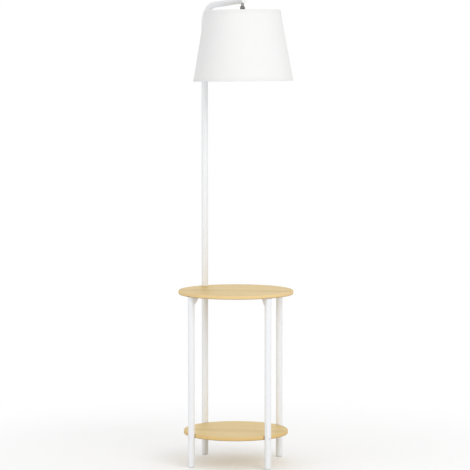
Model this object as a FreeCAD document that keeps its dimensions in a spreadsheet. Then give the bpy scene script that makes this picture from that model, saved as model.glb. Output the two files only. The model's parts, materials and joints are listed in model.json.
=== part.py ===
import FreeCAD, Part
import math
import operator
import os
from types import SimpleNamespace

import Sketcher
from FreeCAD import Placement, Rotation, Vector

# Floor lamp with a round side table. Millimetres, +Z up.
# The origin is on the floor under the middle of the table. Four tube legs stand at the corners of a
# square whose sides run along X and Y. The back left leg goes on above the table as the lamp's pole,
# which bends over the table and carries the shade on a tilt joint.

SIZES = dict(
    # Tubes
    tube_radius=11.0,
    tube_wall=1.2,
    fit_gap=0.03,  # round pieces that are pressed, screwed or welded together
    hole_gap=0.2,  # round pieces that pass through a hole
    hole_spare=1.0,  # a blind hole's depth past the piece in it
    # Table
    leg_circle=181.5,  # from the table's middle to the middle of each leg
    board_thick=12.0,
    board_rounding=2.0,
    top_radius=192.5,
    top_face=582.0,
    shelf_radius=175.0,
    shelf_face=111.0,
    notch_gap=0.3,  # between a leg and its notch in the shelf
    # Plastic caps under the legs
    cap_lip=5.0,
    cap_rounding=4.5,
    cap_floor=3.0,
    cap_plug_length=14.0,
    cap_plug_wall=2.0,
    # Welded brackets under the top
    bracket_sheet=2.0,
    bracket_width=16.0,
    bracket_reach=24.0,  # from the leg's middle
    bracket_tip=4.0,
    bracket_tall=24.0,
    bracket_screw_place=18.0,  # from the leg's middle
    wood_screw_radius=1.9,
    wood_screw_head=3.75,
    wood_screw_head_tall=2.4,
    wood_screw_head_edge=1.2,
    wood_screw_depth=9.0,
    wood_screw_tip=3.0,
    # Bolts that hold the shelf
    bolt_radius=2.0,
    bolt_head_radius=5.0,
    bolt_head_tall=2.2,
    bolt_head_edge=0.8,
    bolt_head_crown=3.0,
    bolt_length=34.0,
    insert_radius=3.5,
    insert_length=14.0,
    insert_sunk=0.5,  # below the notch's wall
    # Threaded plugs and hollow studs that join the tubes
    plug_length=16.0,
    stud_radius=5.0,
    stud_bore=3.2,
    stud_grip=14.0,  # in each plug
    pole_joint=930.0,  # height of the joint in the pole
    # Arm
    arm_bend=63.0,
    arm_rise=4.6,  # degrees
    arm_reach=219.0,  # from the pole to the tilt joint, level
    arm_overhang=8.0,
    arm_end_height=1549.6,
    end_cap_thick=2.0,
    end_cap_spigot=1.2,
    end_cap_rounding=1.2,
    # Wiring
    lead_radius=2.0,
    lead_turn=6.0,  # radius of its tight turns, at the inlet and over the tilt joint
    lead_bend=150.0,  # radius of its bends round the shelf's bolt
    lead_aside=4.6,
    inlet_height=40.0,
    inlet_radius=4.2,
    grommet_gap=0.1,
    grommet_flange_radius=5.6,
    grommet_flange_thick=2.0,
    grommet_flange_edge=0.8,
    grommet_crown_radius=4.4,
    grommet_groove=2.8,
    grommet_catch_radius=5.2,
    grommet_catch_thick=1.2,
    # Tilt joint
    pivot_height=1523.0,
    shade_lean=1.0,  # degrees, as it is left standing
    pivot_radius=1.5,
    pivot_play=0.05,
    knuckle_radius=5.5,
    tongue_thick=6.0,
    tongue_play=0.1,  # each side
    ear_thick=3.2,
    neck_radius=5.0,
    neck_gap=6.0,  # from the pivot to the neck's shoulder
    wireway_floor=2.0,
    thread_radius=4.0,
    thread_bore=2.6,
    nut_flats=12.0,
    nut_thick=2.0,
    nut_drop=7.0,  # its underside, below the arm's middle line
    fork_gap=0.6,  # under the tongue
    pivot_head_radius=2.9,
    pivot_head_tall=1.1,
    pivot_head_edge=0.4,
    pivot_head_crown=2.0,
    fork_base_radius=8.5,
    fork_stem_length=10.0,
    # Lampholder
    holder_top=1509.8,
    holder_wall=2.0,
    holder_radius=19.5,
    holder_neck_radius=8.0,
    holder_neck_tall=6.0,
    holder_shoulder_radius=14.0,
    holder_shoulder_drop=9.0,
    holder_dome_drop=15.0,
    holder_boss_tall=11.0,
    holder_gap=0.1,
    holder_thread_tall=9.0,
    collar_height=1478.8,
    collar_radius=22.0,
    collar_thick=2.3,
    skirt_bottom=1452.0,
    shell_radius=13.35,
    shell_thick=0.5,
    shell_lift=4.0,  # above the skirt's rim
    insulator_lift=5.0,  # above the collar
    insulator_tall=8.0,
    insulator_edge=2.0,
    insulator_crown=6.0,
    contact_reach=8.0,
    contact_bend=1.5,
    contact_thick=0.5,
    contact_width=5.0,
    # Bulb
    bulb_tip=1481.0,
    bulb_tip_radius=4.0,
    bulb_tip_drop=2.0,
    bulb_shoulder_radius=11.0,
    bulb_shoulder_drop=4.0,
    bulb_root_radius=12.4,
    bulb_crest_radius=13.1,
    bulb_rim_radius=13.3,
    bulb_rim_tall=1.0,
    thread_pitch=3.6,
    thread_flank=1.2,
    thread_crest=1.0,
    bulb_radius=30.0,
    bulb_middle=1402.0,
    bulb_shoulder=20.0,  # degrees above the middle, where the round part meets the neck
    bulb_neck_top=1453.0,
    glass_thick=1.0,
    # Shade
    shade_bottom=1282.0,
    shade_top=1515.0,
    shade_bottom_radius=165.5,
    shade_top_radius=125.0,
    fabric_thick=0.8,
    liner_thick=0.6,
    liner_gap=0.05,
    wire_radius=1.5,
    spoke_radius=1.4,
    ring_inset=3.6,  # from the fabric's outside at the rim
    ring_lift=1.0,
    washer_thick=1.5,
    washer_radius=25.0,
    washer_gap=0.3,
    clamp_radius=23.5,
    clamp_tall=8.0,
    clamp_edge=2.0,
    clamp_gap=0.15,
    spoke_turn=60.0,  # degrees from the arm's direction
)

LEG_ANGLES = dict(back_left=135, front_left=225, front_right=315, back_right=45)
BRACKET_CORNERS = ("front_left", "front_right", "back_right")
UP = Vector(0, 0, 1)
POLE_TURN = -45  # the arm points over the table, away from the back left corner
BULB_THREAD_TURNS = 5
SPOKES = 3
OVERCUT = 1  # how far a cutting form runs past what it cuts

SIGNS = {"+": operator.add, "-": operator.sub, "*": operator.mul, "/": operator.truediv}


class Size:
    """A number that remembers its formula in the sheet's words, so that a property can be bound to it."""

    def __init__(self, value, formula):
        self.value = value
        self.formula = formula

    def __float__(self):
        return float(self.value)

    def __neg__(self):
        return combined(0, "-", self)

    def __add__(self, other):
        return combined(self, "+", other)

    def __radd__(self, other):
        return combined(other, "+", self)

    def __sub__(self, other):
        return combined(self, "-", other)

    def __rsub__(self, other):
        return combined(other, "-", self)

    def __mul__(self, other):
        return combined(self, "*", other)

    def __rmul__(self, other):
        return combined(other, "*", self)

    def __truediv__(self, other):
        return combined(self, "/", other)


def words(size):
    return size.formula if isinstance(size, Size) else str(size)


def combined(left, sign, right):
    value = SIGNS[sign](float(left), float(right))
    return Size(value, "(%s %s %s)" % (words(left), sign, words(right)))


def cosine(angle):
    return Size(math.cos(math.radians(float(angle))), "cos(%s)" % words(angle))


def sine(angle):
    return Size(math.sin(math.radians(float(angle))), "sin(%s)" % words(angle))


def tangent(angle):
    return Size(math.tan(math.radians(float(angle))), "tan(%s)" % words(angle))


def hypotenuse(a, b):
    return Size(math.hypot(float(a), float(b)), "hypot(%s; %s)" % (words(a), words(b)))


# ---------------------------------------------------------------- document and sheet

doc = FreeCAD.newDocument("floor_lamp_with_table")
sheet = doc.addObject("Spreadsheet::Sheet", "dims")
for row, (word, number) in enumerate(SIZES.items(), start=1):
    sheet.set("A%d" % row, word)
    sheet.set("B%d" % row, str(number))
    sheet.setAlias("B%d" % row, word)
doc.recompute()

dims = SimpleNamespace(**{word: Size(number, "dims." + word) for word, number in SIZES.items()})
subparts = []

# Sizes that more than one sub-part uses
tube_bore = dims.tube_radius - dims.tube_wall
board_under = dims.top_face - dims.board_thick
leg_top = board_under - dims.bracket_sheet  # of the three legs with brackets
bolt_height = dims.shelf_face - dims.board_thick / 2
arm_axis_height = dims.arm_end_height - dims.arm_overhang * tangent(dims.arm_rise)  # over the tilt joint
neck_bottom = dims.pivot_height + dims.neck_gap
nut_bottom = arm_axis_height - dims.nut_drop
thread_top = nut_bottom + dims.nut_thick
fork_base_top = dims.pivot_height - dims.knuckle_radius - dims.fork_gap
fork_inside = dims.tongue_thick / 2 + dims.tongue_play
fork_outside = fork_inside + dims.ear_thick
holder_bore = dims.holder_radius - dims.holder_wall
washer_top = dims.collar_height - dims.collar_thick
insulator_bottom = dims.collar_height + dims.insulator_lift
insulator_top = insulator_bottom + dims.insulator_tall
ring_bottom_height = dims.shade_bottom + dims.wire_radius + dims.ring_lift
ring_top_height = dims.shade_top - dims.wire_radius - dims.ring_lift


# ---------------------------------------------------------------- places


def on_leg(corner):
    """A leg's own frame: its foot on the floor, X pointing away from the table's middle."""
    turn = Rotation(UP, LEG_ANGLES[corner])
    return Placement(turn.multVec(Vector(float(dims.leg_circle), 0, 0)), turn)


def on_pole():
    """The pole's frame: its foot on the floor, X along the arm."""
    return Placement(on_leg("back_left").Base, Rotation(UP, POLE_TURN))


def on_joint():
    """The arm's side of the tilt joint: below it on the floor, X along the arm."""
    return on_pole().multiply(Placement(Vector(float(dims.arm_reach), 0, 0), Rotation()))


def on_shade():
    """The shade's frame: as the joint's, leaned about the pivot."""
    pivot = Vector(0, 0, float(dims.pivot_height))
    lean = Placement(Vector(), Rotation(Vector(0, -1, 0), float(dims.shade_lean)), pivot)
    return on_joint().multiply(lean)


def facing(x, y, z, direction):
    """A frame at a point, with its Z axis along the direction."""
    return Placement(Vector(float(x), float(y), float(z)), Rotation(UP, Vector(*map(float, direction))))


# ---------------------------------------------------------------- building blocks


def bind(thing, **sizes):
    """Sets sizes of an object, and binds those that come from the sheet."""
    for name, size in sizes.items():
        setattr(thing, name, float(size))
        if isinstance(size, Size):
            thing.setExpression(name, size.formula)


def named(thing, label, place=None):
    """Makes an object a sub-part of the lamp."""
    thing.Label = label
    if place:
        thing.Placement = place
    subparts.append(thing)
    return thing


def new_body(label):
    return doc.addObject("PartDesign::Body", label + "_body")


def origin_feature(body, role):
    return next(feature for feature in body.Origin.OriginFeatures if feature.Role == role)


def new_sketch(body, plane, offset=0):
    """A sketch on one of the body's own planes, moved along the plane's normal by the offset."""
    sketch = body.newObject("Sketcher::SketchObject", "sketch")
    sketch.AttachmentSupport = [(origin_feature(body, plane), "")]
    sketch.MapMode = "FlatFace"
    sketch.AttachmentOffset = Placement(Vector(0, 0, float(offset)), Rotation())
    if isinstance(offset, Size):
        sketch.setExpression("AttachmentOffset.Base.z", offset.formula)
    return sketch


def hold(sketch, constraint, size):
    number = sketch.addConstraint(constraint)
    if isinstance(size, Size):
        sketch.setExpression("Constraints[%d]" % number, size.formula)


def pin(sketch, shape, point, x, y):
    """Holds a point of a sketch at x, y."""
    for kind, axis, size in (("DistanceX", -2, x), ("DistanceY", -1, y)):
        if isinstance(size, Size) or size:
            hold(sketch, Sketcher.Constraint(kind, -1, 1, shape, point, float(size)), size)
        else:
            sketch.addConstraint(Sketcher.Constraint("PointOnObject", shape, point, axis))


def spot(x, y):
    return Vector(float(x), float(y), 0)


def draw_outline(sketch, points):
    """A closed outline of straight lines."""
    following = points[1:] + points[:1]
    for here, there in zip(points, following):
        sketch.addGeometry(Part.LineSegment(spot(*here), spot(*there)))
    for line, point in enumerate(points):
        sketch.addConstraint(Sketcher.Constraint("Coincident", line, 2, (line + 1) % len(points), 1))
        pin(sketch, line, 1, *point)


def draw_circle(sketch, radius, x=0, y=0):
    shape = sketch.addGeometry(Part.Circle(spot(x, y), UP, float(radius)))
    pin(sketch, shape, 3, x, y)
    hold(sketch, Sketcher.Constraint("Radius", shape, float(radius)), radius)


def pad(body, sketch, length, both_ways=False):
    made = body.newObject("PartDesign::Pad", "pad")
    made.Profile = sketch
    made.SideType = "Symmetric" if both_ways else "One side"
    bind(made, Length=length)
    doc.recompute()
    return made


def pocket(body, sketch, length=None, both_ways=False, forwards=False):
    """Cuts a sketch's outline out of the body, backwards along the sketch's normal unless told otherwise,
    and right through it if no length is given."""
    doc.recompute()
    before = body.Shape.Volume
    made = body.newObject("PartDesign::Pocket", "pocket")
    made.Profile = sketch
    made.SideType = "Symmetric" if both_ways else "One side"
    made.Reversed = forwards
    if length is None:
        made.Type = "ThroughAll"
    else:
        bind(made, Length=length)
    doc.recompute()
    if body.Shape.Volume >= before:
        raise RuntimeError("a pocket in %s cuts nothing" % body.Name)
    return made


def around(body, features, count, angle=360):
    """Repeats features about the body's Z axis."""
    pattern = body.newObject("PartDesign::PolarPattern", "pattern")
    pattern.Originals = features
    pattern.Axis = (origin_feature(body, "Z_Axis"), [""])
    pattern.Angle = angle
    pattern.Occurrences = count
    body.Tip = pattern
    doc.recompute()


def round_edges(body, radius, wanted):
    """Rounds the edges of the body's last feature that the test picks."""
    doc.recompute()
    base = body.Tip
    picked = ["Edge%d" % n for n, edge in enumerate(base.Shape.Edges, start=1) if wanted(edge)]
    made = body.newObject("PartDesign::Fillet", "rounding")
    made.Base = (base, picked)
    bind(made, Radius=radius)
    doc.recompute()


def is_circle(edge, radius, height=None):
    """Whether an edge is a level circle of this radius, at this height if one is given."""
    if not isinstance(edge.Curve, Part.Circle) or abs(edge.Curve.Radius - float(radius)) > 0.01:
        return False
    return height is None or abs(edge.Curve.Center.z - float(height)) < 0.01


def turned(body, points):
    """Turns an outline, given as radius and height, about the body's Z axis."""
    sketch = new_sketch(body, "XZ_Plane")
    draw_outline(sketch, points)
    made = body.newObject("PartDesign::Revolution", "turning")
    made.Profile = sketch
    made.ReferenceAxis = (sketch, ["V_Axis"])
    made.Angle = 360
    doc.recompute()
    return body


def tube(body, outer, inner, bottom, top):
    sketch = new_sketch(body, "XY_Plane", bottom)
    draw_circle(sketch, outer)
    draw_circle(sketch, inner)
    pad(body, sketch, top - bottom)
    return body


def cylinder(radius, length, place):
    made = doc.addObject("Part::Cylinder", "cylinder")
    bind(made, Radius=radius, Height=length)
    made.Placement = place
    return made


def across(radius, length):
    """A cylinder along Y, with its middle on the pivot."""
    return cylinder(radius, length, facing(0, -length / 2, dims.pivot_height, (0, 1, 0)))


def box(length, width, height, x, y, z):
    """A box from its lowest corner."""
    made = doc.addObject("Part::Box", "box")
    bind(made, Length=length, Width=width, Height=height)
    made.Placement = Placement(Vector(float(x), float(y), float(z)), Rotation())
    return made


def fused(*shapes):
    made = doc.addObject("Part::MultiFuse", "union")
    made.Shapes = list(shapes)
    return made


def cut(base, *tools):
    made = doc.addObject("Part::Cut", "difference")
    made.Base = base
    made.Tool = tools[0] if len(tools) == 1 else fused(*tools)
    return made


def group(label, members):
    """Identical pieces that share one node."""
    made = doc.addObject("Part::Compound", "group")
    made.Links = members
    named(made, label)


# ---------------------------------------------------------------- table


def new_board(label, radius, face):
    """A round board with rounded rims; its X axis points at the back left leg."""
    body = new_body(label)
    sketch = new_sketch(body, "XY_Plane")
    draw_circle(sketch, radius)
    pad(body, sketch, dims.board_thick)
    round_edges(body, dims.board_rounding, lambda edge: is_circle(edge, radius))
    lift = Vector(0, 0, float(face - dims.board_thick))
    return named(body, label, Placement(lift, Rotation(UP, LEG_ANGLES["back_left"])))


def make_table_top():
    body = new_board("table_top", dims.top_radius, dims.top_face)
    stud_hole = new_sketch(body, "XY_Plane")
    draw_circle(stud_hole, dims.stud_radius + dims.hole_gap, dims.leg_circle)
    pocket(body, stud_hole, forwards=True)
    pilot = new_sketch(body, "XY_Plane")
    draw_circle(pilot, dims.wood_screw_radius + dims.fit_gap, 0, dims.leg_circle - dims.bracket_screw_place)
    pilot_hole = pocket(body, pilot, dims.wood_screw_depth + dims.hole_spare, forwards=True)
    around(body, [pilot_hole], 3, 180)


def make_lower_shelf():
    body = new_board("lower_shelf", dims.shelf_radius, dims.shelf_face)
    notch = new_sketch(body, "XY_Plane")
    draw_circle(notch, dims.tube_radius + dims.notch_gap, dims.leg_circle)
    notch_cut = pocket(body, notch, forwards=True)
    notch_wall = dims.leg_circle - dims.tube_radius - dims.notch_gap
    hole_bottom = notch_wall - dims.insert_sunk - dims.insert_length - dims.hole_spare
    insert_hole = new_sketch(body, "YZ_Plane", hole_bottom)
    draw_circle(insert_hole, dims.insert_radius + dims.fit_gap, 0, dims.board_thick / 2)
    hole_cut = pocket(body, insert_hole, forwards=True)
    around(body, [notch_cut, hole_cut], 4)


def make_leg(corner, top):
    """One tube leg, drilled through for the shelf's bolt."""
    label = "leg_" + corner
    body = tube(new_body(label), dims.tube_radius, tube_bore, dims.cap_lip, top)
    drilling = new_sketch(body, "YZ_Plane")
    draw_circle(drilling, dims.bolt_radius + dims.hole_gap, 0, bolt_height)
    pocket(body, drilling, both_ways=True)
    return named(body, label, on_leg(corner))


def make_pole_leg():
    """The leg under the pole, with the mains lead's inlet near its foot."""
    body = make_leg("back_left", board_under)
    inlet = new_sketch(body, "YZ_Plane")
    draw_circle(inlet, dims.inlet_radius, 0, dims.inlet_height)
    pocket(body, inlet, forwards=True)


def make_foot_cap(corner):
    label = "foot_cap_" + corner
    plug = tube_bore - dims.fit_gap
    plug_top = dims.cap_lip + dims.cap_plug_length
    body = turned(new_body(label), [
        (0, 0),
        (dims.tube_radius, 0),
        (dims.tube_radius, dims.cap_lip),
        (plug, dims.cap_lip),
        (plug, plug_top),
        (plug - dims.cap_plug_wall, plug_top),
        (plug - dims.cap_plug_wall, dims.cap_floor),
        (0, dims.cap_floor),
    ])
    round_edges(body, dims.cap_rounding, lambda edge: is_circle(edge, dims.tube_radius, 0))
    named(body, label, on_leg(corner))


def make_bracket(corner):
    """A folded bracket welded on a leg's top: a plate with a screw hole, on two side gussets."""
    label = "leg_bracket_" + corner
    body = new_body(label)
    side = new_sketch(body, "XZ_Plane")
    draw_outline(side, [
        (0, board_under),
        (-dims.bracket_reach, board_under),
        (-dims.bracket_reach, board_under - dims.bracket_tip),
        (-dims.tube_radius, board_under - dims.bracket_tall),
        (0, board_under - dims.bracket_tall),
    ])
    pad(body, side, dims.bracket_width, both_ways=True)
    fold = new_sketch(body, "XZ_Plane")
    draw_outline(fold, [
        (0, leg_top),
        (-dims.bracket_reach - OVERCUT, leg_top),
        (-dims.bracket_reach - OVERCUT, leg_top - dims.bracket_tall),
        (0, leg_top - dims.bracket_tall),
    ])
    pocket(body, fold, dims.bracket_width - 2 * dims.bracket_sheet, both_ways=True)
    leg_seat = new_sketch(body, "XY_Plane", leg_top)
    draw_circle(leg_seat, dims.tube_radius + dims.fit_gap)
    pocket(body, leg_seat)
    lid = new_sketch(body, "XY_Plane", leg_top)
    draw_circle(lid, dims.tube_radius)
    pad(body, lid, dims.bracket_sheet)
    screw_hole = new_sketch(body, "XY_Plane", board_under)
    draw_circle(screw_hole, dims.wood_screw_radius + dims.hole_gap, -dims.bracket_screw_place)
    pocket(body, screw_hole)
    named(body, label, on_leg(corner))


def make_bracket_screws():
    screws = []
    tip = board_under + dims.wood_screw_depth
    head_bottom = leg_top - dims.wood_screw_head_tall
    for corner in BRACKET_CORNERS:
        screw = turned(new_body("bracket_screw"), [
            (0, tip),
            (dims.wood_screw_radius, tip - dims.wood_screw_tip),
            (dims.wood_screw_radius, leg_top),
            (dims.wood_screw_head, leg_top),
            (dims.wood_screw_head, head_bottom + dims.wood_screw_head_edge),
            (dims.wood_screw_head - dims.wood_screw_head_edge, head_bottom),
            (0, head_bottom),
        ])
        inwards = Placement(Vector(-float(dims.bracket_screw_place), 0, 0), Rotation())
        screw.Placement = on_leg(corner).multiply(inwards)
        screws.append(screw)
    group("bracket_screws", screws)


def make_shelf_fixings():
    """A bolt through each leg, and the threaded insert that it finds in the shelf's edge."""
    bolts = []
    inserts = []
    for corner in LEG_ANGLES:
        bolt = turned(new_body("shelf_bolt"), [
            (0, -dims.bolt_head_tall),
            (dims.bolt_head_crown, -dims.bolt_head_tall),
            (dims.bolt_head_radius, -dims.bolt_head_edge),
            (dims.bolt_head_radius, 0),
            (dims.bolt_radius, 0),
            (dims.bolt_radius, dims.bolt_length),
            (0, dims.bolt_length),
        ])
        inwards = facing(dims.tube_radius, 0, bolt_height, (-1, 0, 0))
        bolt.Placement = on_leg(corner).multiply(inwards)
        bolts.append(bolt)
        inner = dims.bolt_radius + dims.fit_gap
        insert = tube(new_body("shelf_insert"), dims.insert_radius, inner, 0, dims.insert_length)
        start = -dims.tube_radius - dims.notch_gap - dims.insert_sunk
        insert.Placement = on_leg(corner).multiply(facing(start, 0, bolt_height, (-1, 0, 0)))
        inserts.append(insert)
    group("shelf_bolts", bolts)
    group("shelf_inserts", inserts)


# ---------------------------------------------------------------- pole and arm


def make_pole_joints():
    """Threaded plugs in the tube ends, and the hollow studs that screw into them."""
    outer = tube_bore - dims.fit_gap
    inner = dims.stud_radius + dims.fit_gap
    plug_bottoms = dict(
        leg_plug=board_under - dims.plug_length,
        pole_plug_bottom=dims.top_face,
        pole_plug_top=dims.pole_joint - dims.plug_length,
        arm_plug=dims.pole_joint,
    )
    for label, bottom in plug_bottoms.items():
        named(tube(new_body(label), outer, inner, bottom, bottom + dims.plug_length), label, on_pole())
    studs = dict(
        board_stud=(board_under - dims.stud_grip, dims.top_face + dims.stud_grip),
        pole_stud=(dims.pole_joint - dims.stud_grip, dims.pole_joint + dims.stud_grip),
    )
    for label, (bottom, top) in studs.items():
        named(tube(new_body(label), dims.stud_radius, dims.stud_bore, bottom, top), label, on_pole())


def make_pole_lower():
    body = tube(new_body("pole_lower"), dims.tube_radius, tube_bore, dims.top_face, dims.pole_joint)
    named(body, "pole_lower", on_pole())


def arm_corner():
    """Height at which the pole's middle line would meet the arm's."""
    return dims.arm_end_height - (dims.arm_reach + dims.arm_overhang) * tangent(dims.arm_rise)


def run_through(points, radii):
    """Straight runs through the points, joined at the inner ones by tangent arcs of these radii."""
    points = [Vector(*map(float, point)) for point in points]
    runs = []
    here = points[0]
    for before, corner, after, radius in zip(points, points[1:], points[2:], map(float, radii)):
        back = (before - corner).normalize()
        onward = (after - corner).normalize()
        half_turn = (math.pi - back.getAngle(onward)) / 2
        start = corner + back * (radius * math.tan(half_turn))
        finish = corner + onward * (radius * math.tan(half_turn))
        middle = corner + (back + onward).normalize() * (radius / math.cos(half_turn) - radius)
        runs += [Part.LineSegment(here, start), Part.Arc(start, middle, finish)]
        here = finish
    runs.append(Part.LineSegment(here, points[-1]))
    return runs


def make_arm_tube():
    """The pole's upper length and the arm, one bent tube, with a hole under its end for the tilt joint."""
    body = new_body("arm_tube")
    section = new_sketch(body, "XY_Plane", dims.pole_joint)
    draw_circle(section, dims.tube_radius)
    draw_circle(section, tube_bore)
    end = (dims.arm_reach + dims.arm_overhang, dims.arm_end_height)
    corners = [(0, dims.pole_joint, 0), (0, arm_corner(), 0), (*end, 0)]
    route = new_sketch(body, "XZ_Plane")
    for run in run_through(corners, [dims.arm_bend]):
        route.addGeometry(run)
    pin(route, 0, 1, 0, dims.pole_joint)
    pin(route, 2, 2, *end)
    route.addConstraint(Sketcher.Constraint("Vertical", 0))
    route.addConstraint(Sketcher.Constraint("Tangent", 0, 2, 1, 2))
    route.addConstraint(Sketcher.Constraint("Tangent", 1, 1, 2, 1))
    hold(route, Sketcher.Constraint("Radius", 1, float(dims.arm_bend)), dims.arm_bend)
    hold(route, Sketcher.Constraint("Angle", 2, math.radians(float(dims.arm_rise))), dims.arm_rise)
    sweep = body.newObject("PartDesign::AdditivePipe", "bent_tube")
    sweep.Profile = section
    sweep.Spine = (route, [])
    doc.recompute()
    hole = new_sketch(body, "XY_Plane", arm_axis_height)
    draw_circle(hole, dims.thread_radius + dims.hole_gap, dims.arm_reach)
    pocket(body, hole)
    named(body, "arm_tube", on_pole())


def make_arm_end_cap():
    plug = tube_bore - dims.fit_gap
    body = turned(new_body("arm_end_cap"), [
        (0, -dims.end_cap_spigot),
        (plug, -dims.end_cap_spigot),
        (plug, 0),
        (dims.tube_radius, 0),
        (dims.tube_radius, dims.end_cap_thick),
        (0, dims.end_cap_thick),
    ])
    face = dims.end_cap_thick
    round_edges(body, dims.end_cap_rounding, lambda edge: is_circle(edge, dims.tube_radius, face))
    end_x = dims.arm_reach + dims.arm_overhang
    outwards = facing(end_x, 0, dims.arm_end_height, (cosine(dims.arm_rise), 0, sine(dims.arm_rise)))
    named(body, "arm_end_cap", on_pole().multiply(outwards))


def make_cable_grommet():
    """The rubber inlet of the mains lead, at the back of the pole leg."""
    bore = dims.lead_radius + dims.grommet_gap
    groove = dims.inlet_radius - dims.grommet_gap
    catch_bottom = -dims.grommet_groove - dims.grommet_catch_thick
    body = turned(new_body("cable_grommet"), [
        (bore, catch_bottom),
        (dims.grommet_catch_radius, catch_bottom),
        (dims.grommet_catch_radius, -dims.grommet_groove),
        (groove, -dims.grommet_groove),
        (groove, 0),
        (dims.grommet_flange_radius, 0),
        (dims.grommet_flange_radius, dims.grommet_flange_edge),
        (dims.grommet_crown_radius, dims.grommet_flange_thick),
        (bore, dims.grommet_flange_thick),
    ])
    outwards = facing(-dims.tube_radius, 0, dims.inlet_height, (-1, 0, 0))
    named(body, "cable_grommet", on_pole().multiply(outwards))


def make_inner_lead():
    """The wiring from the inlet, beside the shelf's bolt, up the pole and along the arm to the tilt joint."""
    aside = -dims.lead_aside
    bend = dims.lead_bend
    points = [
        (-dims.tube_radius - 1.5, 0, dims.inlet_height),
        (0, 0, dims.inlet_height),
        (0, 0, bolt_height - 45),
        (0, aside, bolt_height - 17),
        (0, aside, bolt_height + 17),
        (0, 0, bolt_height + 45),
        (0, 0, arm_corner()),
        (dims.arm_reach, 0, arm_axis_height),
        (dims.arm_reach, 0, neck_bottom + 3),
    ]
    runs = run_through(points, [dims.lead_turn, bend, bend, bend, bend, dims.arm_bend, dims.lead_turn])
    route = Part.Wire([run.toShape() for run in runs])
    start = Vector(*map(float, points[0]))
    section = Part.Circle(start, Vector(1, 0, 0), float(dims.lead_radius))
    shape = route.makePipeShell([Part.Wire(section.toShape())], True, False)
    expected = math.pi * float(dims.lead_radius) ** 2 * route.Length
    if abs(shape.Volume / expected - 1) > 0.01:
        raise RuntimeError("the inner lead's volume is not its section times its length")
    lead = doc.addObject("Part::Feature", "lead")
    lead.Shape = shape
    named(lead, "inner_lead", on_pole())
    radii = sorted({float(dims.lead_turn), float(bend), float(dims.arm_bend)})
    print("inner lead: length %.0f mm, bends of radius %s mm" % (route.Length, radii))


# ---------------------------------------------------------------- tilt joint


def make_knuckle_upper():
    """A necked stud whose flat tongue carries the pivot; its shoulder is saddled to the arm's underside."""
    along_arm = (cosine(dims.arm_rise), 0, sine(dims.arm_rise))
    reach = 2 * dims.tube_radius
    saddle_start = facing(-reach * along_arm[0], 0, arm_axis_height - reach * along_arm[2], along_arm)
    saddle = cylinder(dims.tube_radius + dims.fit_gap, 2 * reach, saddle_start)
    neck = cylinder(dims.neck_radius, arm_axis_height - neck_bottom, facing(0, 0, neck_bottom, UP))
    thread = cylinder(dims.thread_radius, thread_top - neck_bottom, facing(0, 0, neck_bottom, UP))
    plate = box(
        2 * dims.neck_radius, dims.tongue_thick, dims.neck_gap + OVERCUT,
        -dims.neck_radius, -dims.tongue_thick / 2, dims.pivot_height,
    )
    solid = fused(cut(neck, saddle), thread, plate, across(dims.knuckle_radius, dims.tongue_thick))
    wireway_bottom = neck_bottom + dims.wireway_floor
    wireway = cylinder(dims.thread_bore, thread_top - neck_bottom, facing(0, 0, wireway_bottom, UP))
    pivot_hole = across(dims.pivot_radius + dims.pivot_play, 3 * fork_outside)
    named(cut(solid, wireway, pivot_hole), "knuckle_upper", on_joint())


def make_stem_nut():
    """The nut inside the arm that holds the tilt joint."""
    nut = doc.addObject("Part::Prism", "hexagon")
    nut.Polygon = 6
    bind(nut, Circumradius=dims.nut_flats / 2 / cosine(30), Height=dims.nut_thick)
    nut.Placement = Placement(Vector(0, 0, float(nut_bottom)), Rotation(UP, 30))
    hole_start = facing(0, 0, nut_bottom - OVERCUT, UP)
    hole = cylinder(dims.thread_radius + dims.fit_gap, dims.nut_thick + 2 * OVERCUT, hole_start)
    named(cut(nut, hole), "stem_nut", on_joint())


def make_knuckle_lower():
    """A fork round the tongue, on a round base with a threaded stem for the lampholder."""
    ears = []
    width = 2 * dims.knuckle_radius
    height = dims.pivot_height - fork_base_top
    for y in (-fork_outside, fork_inside):
        ears.append(box(width, dims.ear_thick, height, -dims.knuckle_radius, y, fork_base_top))
        ears.append(cylinder(dims.knuckle_radius, dims.ear_thick, facing(0, y, dims.pivot_height, (0, 1, 0))))
    base = cylinder(dims.fork_base_radius, fork_base_top - dims.holder_top, facing(0, 0, dims.holder_top, UP))
    stem_bottom = dims.holder_top - dims.fork_stem_length
    stem = cylinder(dims.stud_radius, dims.fork_stem_length, facing(0, 0, stem_bottom, UP))
    wireway_start = facing(0, 0, stem_bottom - OVERCUT, UP)
    wireway = cylinder(dims.stud_bore, fork_base_top - stem_bottom + 2 * OVERCUT, wireway_start)
    pivot_hole = across(dims.pivot_radius + dims.fit_gap, 3 * fork_outside)
    named(cut(fused(base, stem, *ears), wireway, pivot_hole), "knuckle_lower", on_shade())


def make_knuckle_screw():
    """The pivot: a low head against one ear, and a shank that ends flush with the other."""
    body = turned(new_body("knuckle_screw"), [
        (0, -dims.pivot_head_tall),
        (dims.pivot_head_crown, -dims.pivot_head_tall),
        (dims.pivot_head_radius, -dims.pivot_head_edge),
        (dims.pivot_head_radius, 0),
        (dims.pivot_radius, 0),
        (dims.pivot_radius, 2 * fork_outside),
        (0, 2 * fork_outside),
    ])
    along = facing(0, -fork_outside, dims.pivot_height, (0, 1, 0))
    named(body, "knuckle_screw", on_shade().multiply(along))


# ---------------------------------------------------------------- lampholder and bulb


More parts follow.
